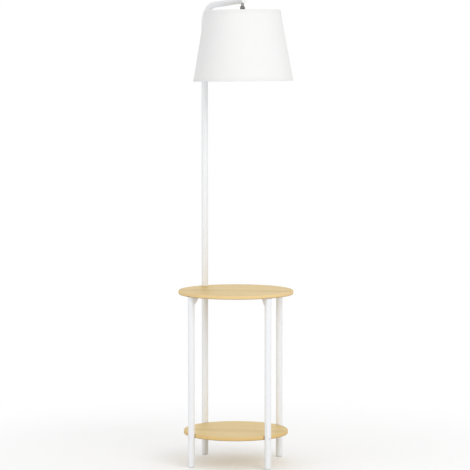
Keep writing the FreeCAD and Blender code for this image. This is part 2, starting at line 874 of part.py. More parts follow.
def make_holder_cap():
    """The domed upper half, whose boss takes the fork's stem."""
    top = dims.holder_top
    boss = dims.stud_radius + dims.fit_gap
    boss_bottom = top - dims.holder_boss_tall
    bottom = dims.collar_height + dims.holder_gap
    named(turned(new_body("holder_cap"), [
        (boss, top),
        (dims.holder_neck_radius, top),
        (dims.holder_neck_radius, top - dims.holder_neck_tall),
        (dims.holder_shoulder_radius, top - dims.holder_shoulder_drop),
        (dims.holder_radius, top - dims.holder_dome_drop),
        (dims.holder_radius, bottom),
        (holder_bore, bottom),
        (holder_bore, top - dims.holder_dome_drop - dims.holder_wall / 2),
        (dims.holder_shoulder_radius - dims.holder_wall / 2, boss_bottom),
        (boss, boss_bottom),
    ]), "holder_cap", on_shade())


def make_holder_skirt():
    """The lower half: it screws into the cap, and its collar carries the shade's centre ring."""
    screwed = holder_bore - dims.holder_gap
    bore = screwed - dims.holder_wall
    thread_end = dims.collar_height + dims.holder_thread_tall
    named(turned(new_body("holder_skirt"), [
        (bore, thread_end),
        (screwed, thread_end),
        (screwed, dims.collar_height),
        (dims.collar_radius, dims.collar_height),
        (dims.collar_radius, washer_top),
        (dims.holder_radius, washer_top),
        (dims.holder_radius, dims.skirt_bottom),
        (bore, dims.skirt_bottom),
    ]), "holder_skirt", on_shade())
    radius = bore - dims.holder_gap
    named(turned(new_body("holder_insert"), [
        (0, insulator_bottom),
        (radius, insulator_bottom),
        (radius, insulator_top - dims.insulator_edge),
        (dims.insulator_crown, insulator_top),
        (0, insulator_top),
    ]), "holder_insert", on_shade())


def make_contacts():
    """The threaded shell and the sprung strip that touch the bulb, and the lead that feeds them."""
    shell = new_body("screw_shell")
    outer = dims.shell_radius + dims.shell_thick
    tube(shell, outer, dims.shell_radius, dims.skirt_bottom + dims.shell_lift, insulator_bottom)
    named(shell, "screw_shell", on_shade())
    body = new_body("centre_contact")
    strip = new_sketch(body, "XZ_Plane")
    touching = dims.bulb_tip + dims.holder_gap
    draw_outline(strip, [
        (-dims.contact_reach, insulator_bottom),
        (-dims.contact_reach, insulator_bottom - dims.contact_thick),
        (-dims.contact_bend, insulator_bottom - dims.contact_thick),
        (2 * dims.contact_bend, touching),
        (2 * dims.contact_bend + dims.contact_thick, touching + dims.contact_thick),
        (-dims.contact_bend + dims.contact_thick, insulator_bottom),
    ])
    pad(body, strip, dims.contact_width, both_ways=True)
    named(body, "centre_contact", on_shade())
    lead_length = fork_base_top - insulator_top - dims.hole_spare
    lead = cylinder(dims.lead_radius, lead_length, facing(0, 0, insulator_top, UP))
    named(lead, "holder_lead", on_shade().multiply(lead.Placement))


def make_bulb_base():
    """The bulb's metal base, whose rings stand for its screw thread."""
    shoulder = dims.bulb_tip - dims.bulb_shoulder_drop
    outline = [
        (0, dims.bulb_tip),
        (dims.bulb_tip_radius, dims.bulb_tip),
        (dims.bulb_tip_radius + dims.bulb_rim_tall, dims.bulb_tip - dims.bulb_tip_drop),
        (dims.bulb_shoulder_radius, shoulder),
    ]
    for turn in range(BULB_THREAD_TURNS):
        z = shoulder - dims.bulb_rim_tall - turn * dims.thread_pitch
        crest_top = z - dims.thread_flank
        crest_bottom = crest_top - dims.thread_crest
        outline += [
            (dims.bulb_root_radius, z),
            (dims.bulb_crest_radius, crest_top),
            (dims.bulb_crest_radius, crest_bottom),
            (dims.bulb_root_radius, crest_bottom - dims.thread_flank),
        ]
    outline += [
        (dims.bulb_rim_radius, dims.bulb_neck_top + dims.bulb_rim_tall),
        (dims.bulb_rim_radius, dims.bulb_neck_top),
        (0, dims.bulb_neck_top),
    ]
    named(turned(new_body("bulb_base"), outline), "bulb_base", on_shade())


def blown_form(radius):
    """The outer or inner form of the bulb's glass: a ball that runs smoothly into a tapered neck."""
    ball = doc.addObject("Part::Sphere", "ball")
    bind(ball, Radius=radius)
    ball.Placement = facing(0, 0, dims.bulb_middle, UP)
    shoulder_up = radius * sine(dims.bulb_shoulder)
    shoulder_radius = radius * cosine(dims.bulb_shoulder)
    neck_tall = dims.bulb_neck_top - dims.bulb_middle - shoulder_up
    neck = doc.addObject("Part::Cone", "neck")
    neck_radius = shoulder_radius - neck_tall * tangent(dims.bulb_shoulder)
    bind(neck, Radius1=shoulder_radius, Radius2=neck_radius, Height=neck_tall)
    neck.Placement = facing(0, 0, dims.bulb_middle + shoulder_up, UP)
    return fused(ball, neck)


def make_bulb_glass():
    hollow = blown_form(dims.bulb_radius - dims.glass_thick)
    named(cut(blown_form(dims.bulb_radius), hollow), "bulb_glass", on_shade())


# ---------------------------------------------------------------- shade


def cone_wall(label, outset, thick, trim):
    """A tapered wall, set in from the shade's outside, with its ends trimmed."""
    slope = (dims.shade_bottom_radius - dims.shade_top_radius) / (dims.shade_top - dims.shade_bottom)
    bottom = dims.shade_bottom_radius - outset - slope * trim
    top = dims.shade_top_radius - outset + slope * trim
    named(turned(new_body(label), [
        (bottom, dims.shade_bottom + trim),
        (top, dims.shade_top - trim),
        (top - thick, dims.shade_top - trim),
        (bottom - thick, dims.shade_bottom + trim),
    ]), label, on_shade())


def wire_ring(shade_radius, height):
    """A ring of wire, set in from the shade's outside."""
    ring = doc.addObject("Part::Torus", "ring")
    bind(ring, Radius1=shade_radius - dims.ring_inset, Radius2=dims.wire_radius)
    ring.Placement = facing(0, 0, height, UP)
    return ring


def make_shade_rings():
    """The wire rings inside the rims."""
    for label, radius, height in (
        ("shade_bottom_ring", dims.shade_bottom_radius, ring_bottom_height),
        ("shade_top_ring", dims.shade_top_radius, ring_top_height),
    ):
        ring = wire_ring(radius, height)
        named(ring, label, on_shade().multiply(ring.Placement))


def make_shade_spider():
    """The centre ring and its three spokes, whose ends are saddled to the top ring."""
    washer_bottom = washer_top - dims.washer_thick
    disc = cylinder(dims.washer_radius, dims.washer_thick, facing(0, 0, washer_bottom, UP))
    hole_start = facing(0, 0, washer_bottom - OVERCUT, UP)
    hole = cylinder(dims.holder_radius + dims.washer_gap, dims.washer_thick + 2 * OVERCUT, hole_start)
    inner = dims.washer_radius - dims.spoke_radius
    run = dims.shade_top_radius - dims.ring_inset - inner
    middle = washer_bottom + dims.washer_thick / 2
    climb = ring_top_height - middle
    spokes = []
    for number in range(SPOKES):
        turn = Placement(Vector(), Rotation(UP, float(dims.spoke_turn) + 360 * number / SPOKES))
        start = facing(inner, 0, middle, (run, 0, climb))
        spokes.append(cylinder(dims.spoke_radius, hypotenuse(run, climb), turn.multiply(start)))
    welded = cut(fused(*spokes), wire_ring(dims.shade_top_radius, ring_top_height))
    named(fused(cut(disc, hole), welded), "shade_spider", on_shade())


def make_retaining_ring():
    """The ring that screws onto the lampholder and clamps the spider's centre ring under its collar."""
    washer_bottom = washer_top - dims.washer_thick
    clamp_bore = dims.holder_radius + dims.clamp_gap
    clamp_top = washer_bottom - dims.liner_gap
    clamp_bottom = clamp_top - dims.clamp_tall
    named(turned(new_body("retaining_ring"), [
        (clamp_bore, clamp_top),
        (dims.clamp_radius, clamp_top),
        (dims.clamp_radius, clamp_top - dims.clamp_edge),
        (dims.collar_radius, clamp_bottom),
        (clamp_bore, clamp_bottom),
    ]), "retaining_ring", on_shade())


# ---------------------------------------------------------------- the lamp

make_table_top()
make_lower_shelf()
for corner in BRACKET_CORNERS:
    make_leg(corner, leg_top)
    make_bracket(corner)
make_pole_leg()
for corner in LEG_ANGLES:
    make_foot_cap(corner)
make_bracket_screws()
make_shelf_fixings()
make_pole_joints()
make_pole_lower()
make_arm_tube()
make_arm_end_cap()
make_cable_grommet()
make_inner_lead()
make_knuckle_upper()
make_stem_nut()
make_knuckle_lower()
make_knuckle_screw()
make_holder_cap()
make_holder_skirt()
make_contacts()
make_bulb_base()
make_bulb_glass()
cone_wall("shade_fabric", 0, dims.fabric_thick, 0)
cone_wall("shade_liner", dims.fabric_thick + dims.liner_gap, dims.liner_thick, dims.ring_lift)
make_shade_rings()
make_shade_spider()
make_retaining_ring()
doc.recompute()

broken = [thing.Label for thing in doc.Objects if {"Invalid", "Error"} & set(thing.State)]
broken += [part.Label for part in subparts if part.Shape.isNull() or not part.Shape.isValid()]
if broken:
    raise RuntimeError("these failed: " + ", ".join(broken))

os.makedirs("parts", exist_ok=True)
for part in subparts:
    part.Shape.exportStep("parts/%s.step" % part.Label)
print("%d sub-parts written" % len(subparts))
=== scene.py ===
import json
import math

import bmesh
import bpy
from mathutils import Matrix, Vector


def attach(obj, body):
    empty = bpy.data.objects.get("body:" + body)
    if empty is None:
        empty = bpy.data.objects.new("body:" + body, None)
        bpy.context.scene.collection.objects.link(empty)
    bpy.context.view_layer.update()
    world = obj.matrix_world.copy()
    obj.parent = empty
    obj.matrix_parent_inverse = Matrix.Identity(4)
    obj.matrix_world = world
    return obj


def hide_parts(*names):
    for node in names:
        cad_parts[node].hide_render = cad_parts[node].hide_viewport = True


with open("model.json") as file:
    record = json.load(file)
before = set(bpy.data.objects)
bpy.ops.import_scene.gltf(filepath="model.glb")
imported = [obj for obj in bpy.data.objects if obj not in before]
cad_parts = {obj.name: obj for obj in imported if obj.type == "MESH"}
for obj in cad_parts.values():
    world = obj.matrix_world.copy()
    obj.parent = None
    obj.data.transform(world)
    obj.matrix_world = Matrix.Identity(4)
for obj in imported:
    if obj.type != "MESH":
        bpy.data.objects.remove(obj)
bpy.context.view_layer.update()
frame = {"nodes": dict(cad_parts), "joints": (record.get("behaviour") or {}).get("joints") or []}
scene = bpy.context.scene

# Sizes in metres, in the lamp's own frame: the origin is on the floor under the middle of the table.

LEG_PLACE = 0.12834  # from the table's middle to each leg, along X and along Y
LEG_CORNERS = ((1, 1), (-1, 1), (-1, -1), (1, -1))
BRACKET_CORNERS = ((1, 1), (-1, -1), (1, -1))  # the pole's leg has no bracket
TUBE_RADIUS = 0.011

TOP_FACE, TOP_RADIUS = 0.582, 0.1925
SHELF_FACE, SHELF_RADIUS = 0.111, 0.175
BOARD_THICK = 0.012
BETWEEN_BOARDS = 0.3  # any height between the shelf and the table's top

BOLT_HEIGHT = 0.105
BOLT_HEAD_RADIUS, BOLT_HEAD_TALL, BOLT_RADIUS, BOLT_LENGTH = 0.005, 0.0022, 0.002, 0.034
SCREW_FROM_LEG = 0.018
SCREW_HEAD_RADIUS, SCREW_HEAD_TALL, SCREW_RADIUS, SCREW_DEPTH = 0.00375, 0.0024, 0.0019, 0.009
BRACKET_UNDER, BRACKET_TALL, BRACKET_WIDE = 0.568, 0.022, 0.016

SHADE_LEAN = math.radians(1.0)
SHADE_LOW, SHADE_HIGH = 1.282, 1.515
SHADE_WIDE, SHADE_NARROW = 0.1655, 0.125
SHADE_MIDDLE = 0.145  # the shade's radius halfway up, for patterns that run round it
CLOTH_THICK, LINER_THICK = 0.0008, 0.0006
THREAD_PITCH = 0.00052
HEM_WIDE, HEM_THICK = 0.010, 0.0004
OVERLAP_WIDE = 0.012
WIRE_RADIUS, WIRE_FROM_RIM = 0.0015, 0.0026
TOP_RING_RADIUS, TOP_RING_HEIGHT = 0.1200, 1.5122
CENTRE_RING_RADIUS, CENTRE_RING_HEIGHT = 0.0249, 1.4762
CLOTH_SLOPE = math.atan2(SHADE_WIDE - SHADE_NARROW, SHADE_HIGH - SHADE_LOW)
CLOTH_TALL = math.hypot(SHADE_WIDE - SHADE_NARROW, SHADE_HIGH - SHADE_LOW)
CLOTH_SWING = SHADE_WIDE / math.sin(CLOTH_SLOPE)  # from the cone's tip to the lower rim

ARM_TURN = math.radians(-45)
PIVOT = Vector(frame["joints"][0]["pos_m"])


# ---------------------------------------------------------------- node trees


class Value:
    """A socket of a node tree. A sum written with it adds its Math nodes to the tree."""

    def __init__(self, tree, socket):
        self.tree = tree
        self.socket = socket

    def maths(self, operation, *values):
        return self.tree.add("ShaderNodeMath", {"operation": operation}, values)

    def __add__(self, other):
        return self.maths("ADD", self, other)

    __radd__ = __add__

    def __sub__(self, other):
        return self.maths("SUBTRACT", self, other)

    def __rsub__(self, other):
        return self.maths("SUBTRACT", other, self)

    def __mul__(self, other):
        return self.maths("MULTIPLY", self, other)

    __rmul__ = __mul__

    def __truediv__(self, other):
        return self.maths("DIVIDE", self, other)

    def __mod__(self, other):
        return self.maths("FLOORED_MODULO", self, other)

    def __gt__(self, other):
        return self.maths("GREATER_THAN", self, other)

    def sine(self):
        return self.maths("SINE", self)

    def cosine(self):
        return self.maths("COSINE", self)

    def floor(self):
        return self.maths("FLOOR", self)

    def fraction(self):
        return self.maths("FRACT", self)

    def size(self):
        return self.maths("ABSOLUTE", self)

    def root(self):
        return self.maths("SQRT", self)

    def turn(self, x):
        """The angle round the upright axis of a point whose y is this value."""
        return self.maths("ARCTAN2", self, x)

    def rise(self, low, high):
        """0 below low, 1 above high, and a soft step between."""
        settings = {"interpolation_type": "SMOOTHSTEP"}
        return self.tree.add("ShaderNodeMapRange", settings, [self, low, high, 0, 1])

    def parts(self):
        """The x, y and z of a vector."""
        node = self.tree.add("ShaderNodeSeparateXYZ", {}, [self]).socket.node
        return [Value(self.tree, socket) for socket in node.outputs]


def set_stops(ramp, stops):
    for _ in range(len(stops) - 2):
        ramp.elements.new(0.5)
    for element, (place, tone) in zip(ramp.elements, stops):
        element.position = place
        element.color = tone


class Tree:
    """A node tree that is being built, for a finish or for a shape."""

    def __init__(self, tree):
        self.tree = tree

    def add(self, kind, settings, inputs=(), output=0):
        """A node of a kind, with its settings and the values or links of its inputs. Gives one output."""
        node = self.tree.nodes.new(kind)
        for name, setting in settings.items():
            if name == "stops":
                set_stops(node.color_ramp, setting)
            else:
                setattr(node, name, setting)
        places = inputs.items() if isinstance(inputs, dict) else enumerate(inputs)
        for place, value in places:
            self.join(value, node.inputs[place])
        return Value(self, node.outputs[output])

    def join(self, value, socket):
        if isinstance(value, Value):
            self.tree.links.new(value.socket, socket)
        else:
            socket.default_value = value

    def vector(self, x, y, z):
        return self.add("ShaderNodeCombineXYZ", {}, [x, y, z])

    def stretched(self, vector, *scales):
        return self.add("ShaderNodeVectorMath", {"operation": "MULTIPLY"}, [vector, scales])

    def noise(self, vector, scale, detail=2.0, roughness=0.5):
        inputs = {"Vector": vector, "Scale": scale, "Detail": detail, "Roughness": roughness}
        return self.add("ShaderNodeTexNoise", {}, inputs)

    def mixed(self, share, one, other):
        """One colour where share is 0, and the other where it is 1."""
        return self.add("ShaderNodeMix", {"data_type": "RGBA"}, {0: share, 6: one, 7: other}, output=2)


def colour(red, green, blue):
    """A colour as a picture's 0 to 255 values, for a shader."""
    values = [c / 255 for c in (red, green, blue)]
    return [c / 12.92 if c <= 0.04045 else ((c + 0.055) / 1.055) ** 2.4 for c in values] + [1.0]


class Finish(Tree):
    """A material with one surface shader. The sizes given with its name are the same all over it."""

    def __init__(self, name, **plain):
        self.material = bpy.data.materials.new(name)
        self.material.use_nodes = True
        super().__init__(self.material.node_tree)
        self.shader = self.tree.nodes["Principled BSDF"]
        for word, value in plain.items():
            self.socket(word).default_value = value

    def socket(self, word):
        return self.shader.inputs[word.replace("_", " ").title().replace("Ior", "IOR")]

    def place(self):
        return self.add("ShaderNodeTexCoord", {}, output="Object")

    def pattern(self):
        return self.add("ShaderNodeUVMap", {"uv_map": "pattern"})

    def feed(self, **varying):
        for word, value in varying.items():
            self.join(value, self.socket(word))

    def relief(self, *layers):
        """Raises the surface by layers of (height, depth in metres), one over the other."""
        normal = None
        for height, depth in layers:
            inputs = {"Height": height, "Strength": 1.0, "Distance": depth}
            if normal:
                inputs["Normal"] = normal
            normal = self.add("ShaderNodeBump", {}, inputs)
        self.feed(normal=normal)


# ---------------------------------------------------------------- finishes


def lacquered_wood():
    """Pale straight-grained veneer along X under satin lacquer, with an edge band round the rim."""
    wood = Finish("lacquered_wood", coat_roughness=0.3, specular_ior_level=0.18)
    place = wood.place()
    x, y, z = place.parts()
    upper = z > BETWEEN_BOARDS
    middle = (x * x + y * y).root()
    radius = upper * (TOP_RADIUS - SHELF_RADIUS) + SHELF_RADIUS
    rim = middle.rise(radius - 0.002, radius - 0.0012)

    # The face: strips of veneer side by side. The shift, from 0 to 1, sets each one's rings apart.
    strip_wide, first_strip, rings, scatter = 0.0385, 40, 210, 43758.5
    strip = (y / strip_wide + first_strip).floor()
    shift = ((strip * 12.9898).sine() * scatter).fraction()
    sway = wood.noise(wood.stretched(place, 2.2, 9.0, 9.0), 1.0, 3.0)
    arch = ((y * y + x * x * 0.012 + 0.002).root() * rings + sway * 9 + shift * 7).sine() * 0.5 + 0.5
    fibre = wood.noise(wood.stretched(place, 34, 1500, 1500), 1.0, 3.0, 0.65)
    streak = wood.noise(wood.stretched(place, 5, 150, 150), 1.0, 4.0, 0.6)
    pores = wood.noise(wood.stretched(place, 110, 2600, 2600), 1.0, 1.0).rise(0.66, 0.74)
    figure = arch * 0.3 + streak * 0.5 + shift * 0.22
    pale, mid, deep = colour(224, 199, 138), colour(212, 184, 116), colour(192, 158, 92)
    face = wood.add("ShaderNodeValToRGB", {"stops": [(0.18, pale), (0.5, mid), (0.86, deep)]}, [figure])
    face = wood.mixed((fibre - 0.42) * 0.8, face, colour(186, 145, 88))
    # Painted light: the shelf's face is made paler, lifting the shade that the top board casts on it.
    face = wood.mixed((1 - upper) * 0.3, face, colour(244, 220, 160))
    face = wood.mixed(pores * 0.35, face, colour(150, 112, 70))

    # The edge band: grain that runs round the rim, with painted shade along its lower edge.
    round_rim = wood.vector(y.turn(x) * TOP_RADIUS, z, middle * 0.2)
    band = wood.noise(wood.stretched(round_rim, 26, 1100, 0), 1.0, 3.0, 0.6)
    flow = wood.noise(wood.stretched(round_rim, 4, 220, 0), 1.0, 2.0)
    above_under = z - upper * (TOP_FACE - SHELF_FACE) - (SHELF_FACE - BOARD_THICK)
    under = 1 - above_under.rise(0.0014, 0.0032)
    # Painted light: the top board's band is made lighter than the shelf's band of the same wood.
    lit_band = wood.mixed(upper, colour(236, 204, 142), colour(249, 222, 170))
    edge = wood.mixed(flow * 0.5 + band * 0.3, lit_band, colour(212, 174, 108))
    # Painted shade along each rim's lower edge.
    edge = wood.mixed(under * 0.65, edge, colour(146, 122, 86))

    # Painted shade in the crease where a leg passes the shelf, or meets the top from below.
    beside_x, beside_y = x.size() - LEG_PLACE, y.size() - LEG_PLACE
    from_leg = (beside_x * beside_x + beside_y * beside_y).root()
    crease_shade = (1 - from_leg.rise(TUBE_RADIUS + 0.001, TUBE_RADIUS + 0.005)) * (1 - upper * (1 - under))

    wood.feed(base_color=wood.mixed(crease_shade * 0.6, wood.mixed(rim, face, edge), colour(92, 68, 44)))
    wood.feed(roughness=0.46 + fibre * 0.12 + pores * 0.2, coat_weight=0.06 - streak * 0.04)
    wood.relief((streak + fibre * 0.6, 0.00006), (pores * -1, 0.00005))
    return wood.material


def powder_coat(name, red, green, blue, grain=1.0):
    """White powder coat: a fine orange peel, with a few scuffs near the floor."""
    coat = Finish(name, coat_weight=0.12, coat_roughness=0.15, specular_ior_level=0.5)
    place = coat.place()
    height = place.parts()[2]
    peel = coat.noise(place, 620 * grain, 2.0, 0.45)
    cloud = coat.noise(place, 14, 3.0)
    scuff = coat.noise(coat.stretched(place, 300, 300, 45), 1.0, 4.0, 0.7).rise(0.62, 0.7)
    low_scuff = scuff * (1 - height.rise(0.006, 0.075))
    tone = coat.mixed(cloud * 0.35, colour(red, green, blue), colour(red - 7, green - 6, blue - 6))
    coat.feed(base_color=coat.mixed(low_scuff * 0.5, tone, colour(176, 172, 166)))
    coat.feed(roughness=0.3 + peel * 0.1 + cloud * 0.07 + low_scuff * 0.2)
    coat.relief((peel, 0.00004), (low_scuff * -1, 0.00003))
    return coat.material


def moulded_plastic(name, red, green, blue, gloss=0.45):
    """Moulded plastic with a fine spark-etched skin and faint flow marks."""
    plastic = Finish(name, specular_ior_level=0.45)
    place = plastic.place()
    etch = plastic.noise(place, 2600, 2.0, 0.6)
    flow = plastic.noise(plastic.stretched(place, 60, 60, 14), 1.0, 3.0)
    dirt = plastic.noise(place, 160, 4.0, 0.7).rise(0.58, 0.75)
    tone = plastic.mixed(flow * 0.5, colour(red, green, blue), colour(red - 10, green - 9, blue - 10))
    plastic.feed(base_color=plastic.mixed(dirt * 0.16, tone, colour(150, 145, 138)))
    plastic.feed(roughness=gloss + etch * 0.12 + dirt * 0.1)
    plastic.relief((etch, 0.00004), (flow, 0.00006))
    return plastic.material


def plated_metal(name, red, green, blue, polish, stain=0.25):
    """Turned and plated metal: lines round the turning axis, cloudy plating and rubbed spots."""
    metal = Finish(name, metallic=1.0)
    place = metal.place()
    turning = metal.noise(metal.stretched(place, 30, 30, 2200), 1.0, 2.0, 0.6)
    cloud = metal.noise(place, 220, 3.0)
    rub = metal.noise(place, 900, 4.0, 0.7).rise(0.55, 0.72)
    stained = colour(red * 0.72, green * 0.71, blue * 0.7)
    rubbed = colour(min(red + 40, 250), min(green + 38, 250), blue + 30)
    tone = metal.mixed(cloud * stain * 2, colour(red, green, blue), stained)
    metal.feed(base_color=metal.mixed(rub * 0.3, tone, rubbed))
    metal.feed(roughness=polish + turning * 0.1 + rub * 0.12)
    metal.relief((turning, 0.00002), (rub, 0.00001))
    return metal.material


def woven_cloth(name, tint=0):
    """Plain-woven cotton, its threads along the flat cut that the shade is rolled from."""
    cloth = Finish(name, sheen_weight=0.25, sheen_roughness=0.45, specular_ior_level=0.2)
    u, v, _ = cloth.pattern().parts()
    across, along = u / THREAD_PITCH, v / THREAD_PITCH
    over = (across.floor() + along.floor()) % 2
    warp = (across.fraction() * math.pi).sine()
    weft = (along.fraction() * math.pi).sine()
    height = over * warp * (weft * 0.35 + 0.65) + (1 - over) * weft * (warp * 0.35 + 0.65)
    slub_up = cloth.noise(cloth.vector(u * 1900, v * 26, 0), 1.0, 2.0, 0.6)
    slub_round = cloth.noise(cloth.vector(u * 26, v * 1900, 4), 1.0, 2.0, 0.6)
    slub = (slub_up * over + slub_round * (1 - over)).rise(0.3, 0.75)
    cloud = cloth.noise(cloth.vector(u, v, 9), 11, 3.0)
    # Painted shade in the gaps between the threads.
    gap_shade = (1 - warp) * (1 - weft)
    tone = cloth.mixed(slub * 0.6, colour(240 - tint, 241 - tint, 240 - tint), colour(250, 251, 250))
    tone = cloth.mixed(cloud * 0.2, tone, colour(244, 244, 242))
    cloth.feed(base_color=cloth.mixed(gap_shade * 0.6, tone, colour(206, 206, 202)))
    cloth.feed(roughness=0.82 + slub * 0.1)
    cloth.relief((height + slub * 0.5, 0.00007))
    return cloth.material


def backing_sheet():
    """The white plastic sheet behind the cloth, with the weave showing faintly through."""
    sheet = Finish("backing_sheet", specular_ior_level=0.4)
    place = sheet.place()
    x, y, z = place.parts()
    up = (z / THREAD_PITCH * math.pi).sine()
    round_shade = (y.turn(x) * SHADE_MIDDLE / THREAD_PITCH * math.pi).sine()
    grid = up * round_shade * 0.5 + 0.5
    cloud = sheet.noise(place, 18, 4.0)
    sheet.feed(base_color=sheet.mixed(cloud * 0.4, colour(250, 250, 247), colour(238, 237, 231)))
    sheet.feed(roughness=0.36 + cloud * 0.12 + grid * 0.04)
    sheet.relief((grid, 0.00002), (cloud, 0.0004))
    return sheet.material


def opal_glass():
    """White opal glass, smooth, with a faint swirl and dust."""
    glass = Finish("opal_glass", specular_ior_level=0.6, subsurface_weight=0.25, subsurface_scale=0.004)
    place = glass.place()
    swirl = glass.noise(place, 28, 3.0)
    dust = glass.noise(place, 1400, 3.0, 0.7).rise(0.6, 0.72)
    clear, dull = colour(250, 249, 245), colour(232, 229, 221)
    glass.feed(base_color=glass.mixed(swirl * 0.3 + dust * 0.2, clear, dull))
    glass.feed(roughness=0.12 + dust * 0.25 + swirl * 0.06)
    glass.relief((swirl, 0.00012))
    return glass.material


def glazed_ceramic():
    """White glazed ceramic with a few pinholes in the glaze."""
    glaze = Finish("glazed_ceramic", coat_weight=0.6, coat_roughness=0.08)
    place = glaze.place()
    ripple = glaze.noise(place, 240, 2.0)
    specks = glaze.noise(place, 1500, 1.0).rise(0.72, 0.78)
    glaze.feed(base_color=glaze.mixed(specks * 0.7, colour(238, 236, 229), colour(140, 126, 108)))
    glaze.feed(roughness=0.2 + ripple * 0.15)
    glaze.relief((ripple, 0.00008))
    return glaze.material


SLOT_FINISHES = {
    "light_wood": lacquered_wood(),
    "white_tube": powder_coat("white_powder_coat", 243, 244, 246),
    "white_plastic": moulded_plastic("foot_plastic", 238, 238, 237),
    "zinc_steel": plated_metal("zinc_plate", 196, 199, 203, polish=0.32),
    "white_bolt": powder_coat("bolt_enamel", 238, 238, 238, grain=1.6),
    "brass_insert": plated_metal("turned_brass", 214, 178, 104, polish=0.26),
    "lead_sheath": moulded_plastic("lead_sheath", 232, 231, 228, gloss=0.5),
    "dark_nickel": plated_metal("dark_nickel", 138, 137, 136, polish=0.14, stain=0.2),
    "holder_plastic": moulded_plastic("lampholder_plastic", 240, 240, 238, gloss=0.22),
    "holder_ceramic": glazed_ceramic(),
    "bulb_metal": plated_metal("bulb_aluminium", 205, 206, 208, polish=0.3),
    "opal_glass": opal_glass(),
    "white_fabric": woven_cloth("woven_cotton"),
    "shade_backing": backing_sheet(),
    "white_wire": powder_coat("wire_enamel", 242, 242, 242, grain=2.0),
}

for thing in frame["nodes"].values():
    for holder in thing.material_slots:
        holder.material = SLOT_FINISHES[holder.material.name]


# ---------------------------------------------------------------- shapes


def linked(name, data):
    """A new object in the scene."""
    thing = bpy.data.objects.new(name, data)
    scene.collection.objects.link(thing)
    return thing


def piece(name, mesh, finish, body, place=None, crease=40):
    """A finished mesh as a piece of the lamp, with soft shading up to the crease angle."""
    if place:
        mesh.transform(place)
    mesh.materials.clear()
    mesh.materials.append(finish)
    mesh.shade_smooth()
    mesh.set_sharp_from_angle(angle=math.radians(crease))
    thing = linked(name, mesh)
    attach(thing, body)
    return thing


def settled(blank):
    """The mesh that a blank's modifiers leave. The blank itself goes."""
    graph = bpy.context.evaluated_depsgraph_get()
    mesh = bpy.data.meshes.new_from_object(blank.evaluated_get(graph))
    bpy.data.objects.remove(blank)
    return mesh


def with_modifiers(mesh, *modifiers):
    """The mesh after the modifiers, each given as (kind, settings)."""
    blank = linked("blank", mesh)
    for kind, settings in modifiers:
        modifier = blank.modifiers.new(kind.lower(), kind)
        for name, setting in settings.items():
            setattr(modifier, name, setting)
    return settled(blank)


def as_mesh(made, name):
    mesh = bpy.data.meshes.new(name)
    made.to_mesh(mesh)
    made.free()
    return mesh


def turned(outline, steps):
    """An outline of (radius, height) points turned about the vertical. Points at radius 0 close its ends."""
    made = bmesh.new()
    rows = []
    for step in range(steps):
        angle = math.tau * step / steps
        rows.append([made.verts.new((r * math.cos(angle), r * math.sin(angle), z)) for r, z in outline])
    for here, there in zip(rows, rows[1:] + rows[:1]):
        for k in range(len(outline) - 1):
            made.faces.new((here[k], there[k], there[k + 1], here[k + 1]))
    bmesh.ops.remove_doubles(made, verts=made.verts, dist=1e-7)
    bmesh.ops.dissolve_degenerate(made, edges=made.edges, dist=1e-7)
    bmesh.ops.recalc_face_normals(made, faces=made.faces)
    return as_mesh(made, "turned")


def prism(corners, bottom, top):
    """An upright prism on an outline of (x, y) corners."""
    made = bmesh.new()
    low = [made.verts.new((x, y, bottom)) for x, y in corners]
    high = [made.verts.new((x, y, top)) for x, y in corners]
    made.faces.new(low[::-1])
    made.faces.new(high)
    for k in range(len(corners)):
        m = (k + 1) % len(corners)
        made.faces.new((low[k], low[m], high[m], high[k]))
    return as_mesh(made, "prism")


def carved(mesh, *cutters):
    """The mesh less the cutters, for the recess in a screw's head."""
    tools = [linked("cutter", cutter) for cutter in cutters]
    cut = {"operation": "DIFFERENCE", "solver": "EXACT"}
    made = with_modifiers(mesh, *[("BOOLEAN", {**cut, "object": tool}) for tool in tools])
    for tool in tools:
        bpy.data.objects.remove(tool)
    return made


# The socket that carries each kind of size into a plan.
KINDS = {float: "NodeSocketFloat", int: "NodeSocketInt", bpy.types.Object: "NodeSocketObject"}


def grown(plan, finish, base=None, **sizes):
    """The mesh that a Geometry Nodes plan makes from a base mesh and its named sizes."""
    group = bpy.data.node_groups.new(plan.__name__, "GeometryNodeTree")
    ends = group.interface
    ends.new_socket("Base", in_out="INPUT", socket_type="NodeSocketGeometry")
    for word, size in sizes.items():
        ends.new_socket(word, in_out="INPUT", socket_type=KINDS[type(size)])
    ends.new_socket("Shape", in_out="OUTPUT", socket_type="NodeSocketGeometry")
    tree = Tree(group)
    entry = group.nodes.new("NodeGroupInput")
    given = {word: Value(tree, entry.outputs[word]) for word in sizes}
    shape = plan(tree, Value(tree, entry.outputs["Base"]), **given)
    whole = tree.add("GeometryNodeRealizeInstances", {}, [shape])
    painted = tree.add("GeometryNodeSetMaterial", {}, {"Geometry": whole, "Material": finish})
    tree.join(painted, group.nodes.new("NodeGroupOutput").inputs["Shape"])

    blank = linked("blank", base or bpy.data.meshes.new("base"))
    modifier = blank.modifiers.new("plan", "NODES")
    modifier.node_group = group
    for item in ends.items_tree:
        if item.in_out == "INPUT" and item.name in sizes:
            modifier[item.identifier] = sizes[item.name]
    return settled(blank)


# ---------------------------------------------------------------- shade

on_arm = Matrix.Translation(Vector((PIVOT.x, PIVOT.y, 0))) @ Matrix.Rotation(ARM_TURN, 4, "Z")
lean = Matrix.Translation(Vector((0, 0, PIVOT.z))) @ Matrix.Rotation(-SHADE_LEAN, 4, "Y")
on_shade = on_arm @ lean @ Matrix.Translation(Vector((0, 0, -PIVOT.z)))


def on_cone(slope, out):
    """The radius and height of a point up the cloth's slope from the lower rim, and out from its face."""
    radius = SHADE_WIDE - slope * math.sin(CLOTH_SLOPE) + out * math.cos(CLOTH_SLOPE)
    height = SHADE_LOW + slope * math.cos(CLOTH_SLOPE) + out * math.sin(CLOTH_SLOPE)
    return radius, height


